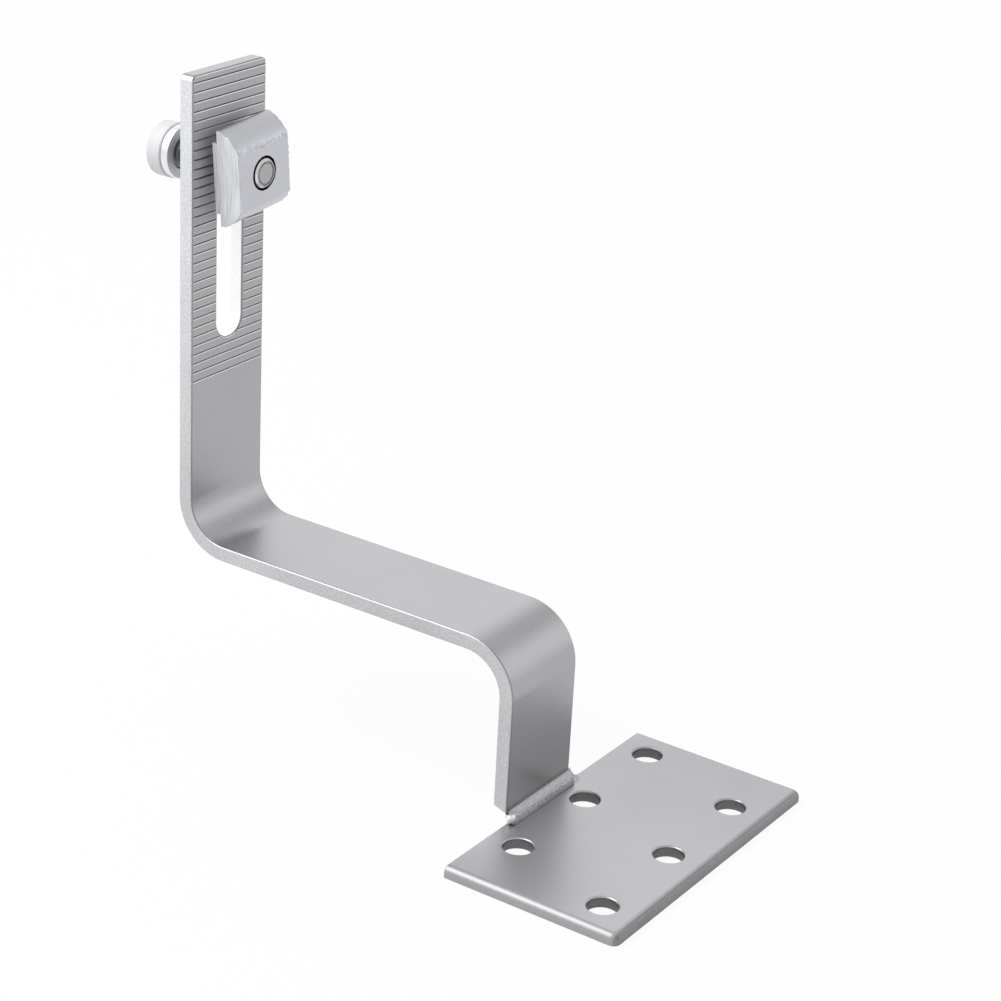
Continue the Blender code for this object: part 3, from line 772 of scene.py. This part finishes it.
# Clamp bolt
# Stainless M10 x 35 socket bolt with a low turned head and a rolled thread of 1.5 mm pitch. It
# lies in the slot, carries the block on its thread, and its turned tip stands 0.6 mm proud of the
# block's front.
THREAD_RADIUS = 0.00495
THREAD_ROOT_RADIUS = 0.00408
THREAD_PITCH = 0.0015
THREAD_STEPS = 48
THREAD_START = -0.0005  # inside the head, so that the two join
BOLT_LENGTH = 0.035
HEAD_RADIUS = 0.00875
HEAD_HEIGHT = 0.0057
HEAD_EDGE_RADIUS = 0.0008
HEAD_EDGE_SEGMENTS = 4
HEAD_SEAT_CHAMFER = 0.00035
HEAD_STEPS = 96
HEAD_SEAT = BLOCK_STANDOFF + BLOCK_DEPTH - BOLT_LENGTH
SOCKET_ACROSS_FLATS = 0.006
SOCKET_DEPTH = 0.0036
SOCKET_SIDES = 6
TIP_RING_RADIUS = 0.0043
TIP_CHAMFER_RADIUS = 0.00465
TIP_NOSE_RADIUS = 0.0041
TIP_NOSE_RISE = 0.0006
TIP_DISC_RADIUS = 0.0031
TIP_GROOVE_DEPTH = 0.0003
SHADED_THREAD_LENGTH = 0.0095
TURNING_MARK_SIZE = 0.0003  # real turning marks are about 0.1 mm apart, too fine to show
TURNED_HEAD, ROLLED_THREAD, CUT_END, SHADED_THREAD_END, TIP_CHAMFER = range(5)


def upright_line(shape, profile):
    """A line through points of radius and height, which is spun about Z."""
    corners = [shape.verts.new((radius, 0, height)) for radius, height in profile]
    return [*corners, *[shape.edges.new(pair) for pair in zip(corners, corners[1:])]]


def turned(profile, steps):
    """Spins a profile of radius and height about Z into a closed shape."""
    shape = bmesh.new()
    bmesh.ops.spin(shape, geom=upright_line(shape, profile), cent=(0, 0, 0), axis=(0, 0, 1),
                   angle=math.tau, steps=steps, use_merge=True)
    bmesh.ops.remove_doubles(shape, verts=shape.verts, dist=MERGE_REACH)
    bmesh.ops.recalc_face_normals(shape, faces=shape.faces)
    return shape


def turning_marks(tree, place):
    """Reads the grain by distance from the bolt's axis and along it, so it runs in rings."""
    parts = add_node(tree, "ShaderNodeSeparateXYZ", {"Vector": place})
    across = add_node(tree, "ShaderNodeCombineXYZ",
                      {"X": parts.outputs["X"], "Y": parts.outputs["Z"]})
    axis = clamp_place.translation
    reach = add_node(tree, "ShaderNodeVectorMath",
                     {0: across.outputs[0], 1: (axis.x, axis.z, 0)}, operation="DISTANCE")
    return add_node(tree, "ShaderNodeCombineXYZ",
                    {"X": reach.outputs["Value"], "Y": parts.outputs["Y"]}).outputs[0]


# One turn of a metric thread, an eighth of the pitch flat at the crest and a quarter at the root,
# is spun up the whole bolt and cut to length, and its end is turned down to the tip.
crest = THREAD_PITCH / 8
root = THREAD_PITCH / 4
flank = (THREAD_PITCH - crest - root) / 2
thread_line = ((THREAD_RADIUS, 0), (THREAD_RADIUS, crest), (THREAD_ROOT_RADIUS, crest + flank),
               (THREAD_ROOT_RADIUS, crest + flank + root), (THREAD_RADIUS, THREAD_PITCH))
turns = math.ceil(BOLT_LENGTH / THREAD_PITCH) + 2
bolt = bmesh.new()
first_turn = upright_line(bolt, [(radius, height - THREAD_PITCH) for radius, height in thread_line])
bmesh.ops.spin(bolt, geom=first_turn, cent=(0, 0, 0), axis=(0, 0, 1), angle=math.tau * turns,
               steps=THREAD_STEPS * turns, dvec=(0, 0, THREAD_PITCH / THREAD_STEPS))
bmesh.ops.remove_doubles(bolt, verts=bolt.verts, dist=MERGE_REACH)
cut_flat(bolt, (0, 0, THREAD_START), (0, 0, -1))
cut_flat(bolt, (0, 0, BOLT_LENGTH), (0, 0, 1))
for corner in bolt.verts:
    limit = TIP_RING_RADIUS + (BOLT_LENGTH - corner.co.z)
    reach = corner.co.xy.length
    if reach > limit:
        corner.co.xy *= limit / reach
bmesh.ops.recalc_face_normals(bolt, faces=bolt.faces)

chamfer = TIP_CHAMFER_RADIUS - TIP_NOSE_RADIUS
nose_top = BOLT_LENGTH + TIP_NOSE_RISE
nose = turned([(0, nose_top - chamfer * 2), (TIP_CHAMFER_RADIUS, nose_top - chamfer * 2),
               (TIP_CHAMFER_RADIUS, nose_top - chamfer), (TIP_NOSE_RADIUS, nose_top),
               (TIP_NOSE_RADIUS - TIP_GROOVE_DEPTH / 2, nose_top),
               (TIP_NOSE_RADIUS - TIP_GROOVE_DEPTH, nose_top - TIP_GROOVE_DEPTH),
               (TIP_DISC_RADIUS + TIP_GROOVE_DEPTH / 2, nose_top - TIP_GROOVE_DEPTH),
               (TIP_DISC_RADIUS, nose_top), (0, nose_top)], HOLE_STEPS)
bolt = cut_out(bolt, nose, "UNION")

head_line = [(0, -HEAD_HEIGHT)]
for step in range(HEAD_EDGE_SEGMENTS + 1):
    angle = math.radians(90) * step / HEAD_EDGE_SEGMENTS
    head_line.append((HEAD_RADIUS - HEAD_EDGE_RADIUS * (1 - math.sin(angle)),
                      -HEAD_HEIGHT + HEAD_EDGE_RADIUS * (1 - math.cos(angle))))
head_line += [(HEAD_RADIUS, -HEAD_SEAT_CHAMFER), (HEAD_RADIUS - HEAD_SEAT_CHAMFER, 0), (0, 0)]
head = turned(head_line, HEAD_STEPS)
socket = bmesh.new()
bmesh.ops.create_cone(
    socket, cap_ends=True, segments=SOCKET_SIDES, radius1=SOCKET_ACROSS_FLATS / math.sqrt(3),
    radius2=SOCKET_ACROSS_FLATS / math.sqrt(3), depth=SOCKET_DEPTH + CUT_OVERRUN,
    matrix=Matrix.Translation((0, 0, -HEAD_HEIGHT + (SOCKET_DEPTH - CUT_OVERRUN) / 2)))
head = cut_out(head, socket)
bolt = cut_out(head, bolt, "UNION")
for face in bolt.faces:
    middle = face.calc_center_median()
    reach = middle.xy.length
    on_tip = middle.z > BOLT_LENGTH
    if on_tip and reach < TIP_DISC_RADIUS + TIP_GROOVE_DEPTH / 2:
        face.material_index = CUT_END
    elif on_tip and reach < TIP_NOSE_RADIUS and middle.z < nose_top - TIP_GROOVE_DEPTH / 4:
        face.material_index = ROLLED_THREAD
    elif middle.z > nose_top - chamfer:
        face.material_index = TIP_CHAMFER
    elif middle.z > 0:
        in_bore_shade = middle.z >= BOLT_LENGTH - SHADED_THREAD_LENGTH
        face.material_index = SHADED_THREAD_END if in_bore_shade else ROLLED_THREAD
bmesh.ops.transform(bolt, verts=bolt.verts,
                    matrix=clamp_place @ Matrix.Translation((0, 0, HEAD_SEAT)))

# Stainless steel, turned on a lathe: pale, with fine rings that spread the light into a sheen.
worked_metal("turned_stainless", "EAEAEC", "DEDEE0", 0.85, grain_size=TURNING_MARK_SIZE,
             grain_run=turning_marks)
# A thread rolled between dies: smooth flanks that glint in turn, with painted shade: it is coloured
# darker than the head for the shade it lies in.
worked_metal("thread_painted_shade", "A0A2A5", "828487", 0.35)
# Painted shade: the same thread near the tip, inside the block, coloured dark for the deep shade in
# the bore, with a dull shine.
worked_metal("thread_end_painted_shade", "4A4B4D", "363739", 0.4)
# The tip's chamfer, rubbed bright by the block's thread: a pale ring with the sharpest gloss.
worked_metal("burnished_tip_chamfer", "E6E6E8", "D6D6D8", 0.3)
# The tip's end, cut off and faced: a plain grey disc with faint rings.
worked_metal("cut_bolt_end", "BCBDBE", "AEAFB0", 0.45, grain_size=TURNING_MARK_SIZE,
             grain_run=turning_marks)
finished_piece("threaded_bolt", bolt,
               ["turned_stainless", "thread_painted_shade", "cut_bolt_end",
                "thread_end_painted_shade", "burnished_tip_chamfer"],
               "bolt", "clamp_bolt")


# Lock washer
# Split spring washer, wound from square steel wire, so it rises a little from one end to the
# other. It sits under the bolt's head, with its split on the hidden side.
WASHER_INNER = 0.0053
WASHER_OUTER = 0.0084
WASHER_THICKNESS = 0.0028
WASHER_RISE = 0.0002
WASHER_SPLIT = math.radians(14)
WASHER_STEPS = 96
WASHER_EDGE_RADIUS = 0.00025
WASHER_EDGE_SEGMENTS = 3
WASHER_GAP = 0.00004
WASHER_FACE_LEAN = 0.9
WASHER_WIRE, WASHER_FACE = range(2)

washer = bmesh.new()
wire = flat_face(washer, [(radius, 0, height) for radius, height in (
    (WASHER_INNER, 0), (WASHER_OUTER, 0), (WASHER_OUTER, WASHER_THICKNESS),
    (WASHER_INNER, WASHER_THICKNESS))])
bmesh.ops.rotate(washer, verts=washer.verts, cent=(0, 0, 0),
                 matrix=Matrix.Rotation(WASHER_SPLIT / 2, 3, "Z"))
bmesh.ops.spin(washer, geom=[wire], cent=(0, 0, 0), axis=(0, 0, 1), steps=WASHER_STEPS,
               angle=math.tau - WASHER_SPLIT, dvec=(0, 0, WASHER_RISE / WASHER_STEPS))
bmesh.ops.recalc_face_normals(washer, faces=washer.faces)
round_off(washer, sharp_edges(washer), WASHER_EDGE_RADIUS, WASHER_EDGE_SEGMENTS)
bmesh.ops.transform(washer, verts=washer.verts,
                    matrix=clamp_place @ Matrix.Translation((0, 0, HEAD_SEAT + WASHER_GAP)))
for face in washer.faces:
    if face.normal.y < -WASHER_FACE_LEAN:
        face.material_index = WASHER_FACE

# Spring steel, coiled and tumbled bright: pale, with the drawn wire's lines running round it.
worked_metal("coiled_spring_steel", "F2F3F4", "E6E7E9", 0.45, grain_size=TURNING_MARK_SIZE,
             grain_run=turning_marks)
# Painted light: the face towards the strap, rubbed matt, lies in shade and is coloured white so
# that it reads lighter; the same steel, without a glint.
worked_metal("washer_face_painted_light", "F8F9FA", "E0E2E5", 0.6, grain_size=TURNING_MARK_SIZE,
             grain_run=turning_marks)
finished_piece("split_washer", washer, ["coiled_spring_steel", "washer_face_painted_light"],
               "washer", "lock_washer")


# Studio
# White paper floor in an evenly white room, under three big soft square lamps: the key above and
# behind on the left, a weaker one behind on the right, and a weak fill in front on the right.
FLOOR_REACH = 3
FLOOR_DROP = 0.0001
PAPER_ROUGHNESS = 0.9
PAPER_WHITE_SHARE = 0.92
PAPER_GLOSS_SHARE = 0.5
ROOM_GLOSS_SHARE = 0.4
ROOM_STRENGTH = 0.6
ROOM_STRENGTH_SEEN = 1.0
LAMP_TARGET = (0, 0.08, 0.08)


def seen_share(tree, gloss_share):
    """1 where the camera looks at a surface, and gloss_share where a piece mirrors it."""
    rays = add_node(tree, "ShaderNodeLightPath", {})
    straight = add_node(tree, "ShaderNodeMath",
                        {0: rays.outputs["Is Camera Ray"], 1: rays.outputs["Is Transmission Ray"]},
                        operation="MAXIMUM")
    return add_node(tree, "ShaderNodeMath",
                    {0: rays.outputs["Is Glossy Ray"], 1: gloss_share, 2: straight.outputs[0]},
                    operation="MULTIPLY_ADD", use_clamp=True).outputs[0]


def add_lamp(name, place, size, watts):
    """A big soft square lamp that looks at the hook and isn't seen itself."""
    lamp = bpy.data.lights.new(name, "AREA")
    lamp.shape = "SQUARE"
    lamp.size = size
    lamp.energy = watts
    made = bpy.data.objects.new(name, lamp)
    made.location = place
    made.rotation_euler = (Vector(LAMP_TARGET) - made.location).to_track_quat("-Z", "Y").to_euler()
    made.visible_camera = False
    bpy.context.scene.collection.objects.link(made)


floor_shape = bmesh.new()
bmesh.ops.create_grid(floor_shape, x_segments=1, y_segments=1, size=FLOOR_REACH,
                      matrix=Matrix.Translation((0, 0, -FLOOR_DROP)))
floor_mesh = bpy.data.meshes.new("floor")
floor_shape.to_mesh(floor_mesh)
floor_shape.free()
floor = bpy.data.objects.new("floor", floor_mesh)
bpy.context.scene.collection.objects.link(floor)
# Matt white paper: the camera sees it almost plain white, and it keeps a trace of the shadow.
paper, paper_surface = new_finish("white_paper", metallic=0.0)
paper_surface.inputs["Base Color"].default_value = linear("F6F6F6")
paper_surface.inputs["Roughness"].default_value = PAPER_ROUGHNESS
white_share = add_node(paper, "ShaderNodeMath",
                       {0: seen_share(paper, PAPER_GLOSS_SHARE), 1: PAPER_WHITE_SHARE},
                       operation="MULTIPLY")
white = add_node(paper, "ShaderNodeEmission", {"Color": (1, 1, 1, 1), "Strength": 1.0})
mixed = add_node(paper, "ShaderNodeMixShader",
                 {0: white_share.outputs[0], 1: paper_surface.outputs[0], 2: white.outputs[0]})
paper.links.new(mixed.outputs[0], paper.nodes["Material Output"].inputs["Surface"])
floor.data.materials.append(bpy.data.materials["white_paper"])

world = bpy.data.worlds.new("studio")
bpy.context.scene.world = world
world.use_nodes = True
room = world.node_tree
strength = add_node(room, "ShaderNodeMapRange",
                    {"Value": seen_share(room, ROOM_GLOSS_SHARE), "To Min": ROOM_STRENGTH,
                     "To Max": ROOM_STRENGTH_SEEN})
room.links.new(strength.outputs[0], room.nodes["Background"].inputs["Strength"])
room.nodes["Background"].inputs["Color"].default_value = (1, 1, 1, 1)

add_lamp("key", place=(-0.55, 0.65, 1.0), size=0.8, watts=9)
add_lamp("back", place=(0.95, 0.72, 0.56), size=0.9, watts=1.4)
add_lamp("fill", place=(1.1, -0.7, 0.5), size=0.8, watts=1.1)


# Camera
# Stands where the photograph was taken from. Its place, its turn and its focal length were solved
# from the hook's straight edges, bends and holes.
PHOTO_FOCAL_PIXELS = 2717.209
PHOTO_WIDTH_PIXELS = 1001
SENSOR_WIDTH_MM = 36
CAMERA_PLACE = (-0.63015, -0.36287, 0.42644)
CAMERA_TURN_DEGREES = (66.4707, -2.7882, -55.3299)
CLIP_NEAR = 0.01
CLIP_FAR = 20

camera = bpy.data.cameras.new("camera")
camera.sensor_width = SENSOR_WIDTH_MM
camera.lens = SENSOR_WIDTH_MM * PHOTO_FOCAL_PIXELS / PHOTO_WIDTH_PIXELS
camera.clip_start = CLIP_NEAR
camera.clip_end = CLIP_FAR
photo_view = bpy.data.objects.new("camera", camera)
photo_view.location = CAMERA_PLACE
photo_view.rotation_euler = [math.radians(angle) for angle in CAMERA_TURN_DEGREES]
bpy.context.scene.collection.objects.link(photo_view)
bpy.context.scene.camera = photo_view
bpy.context.scene.view_settings.view_transform = "Standard"
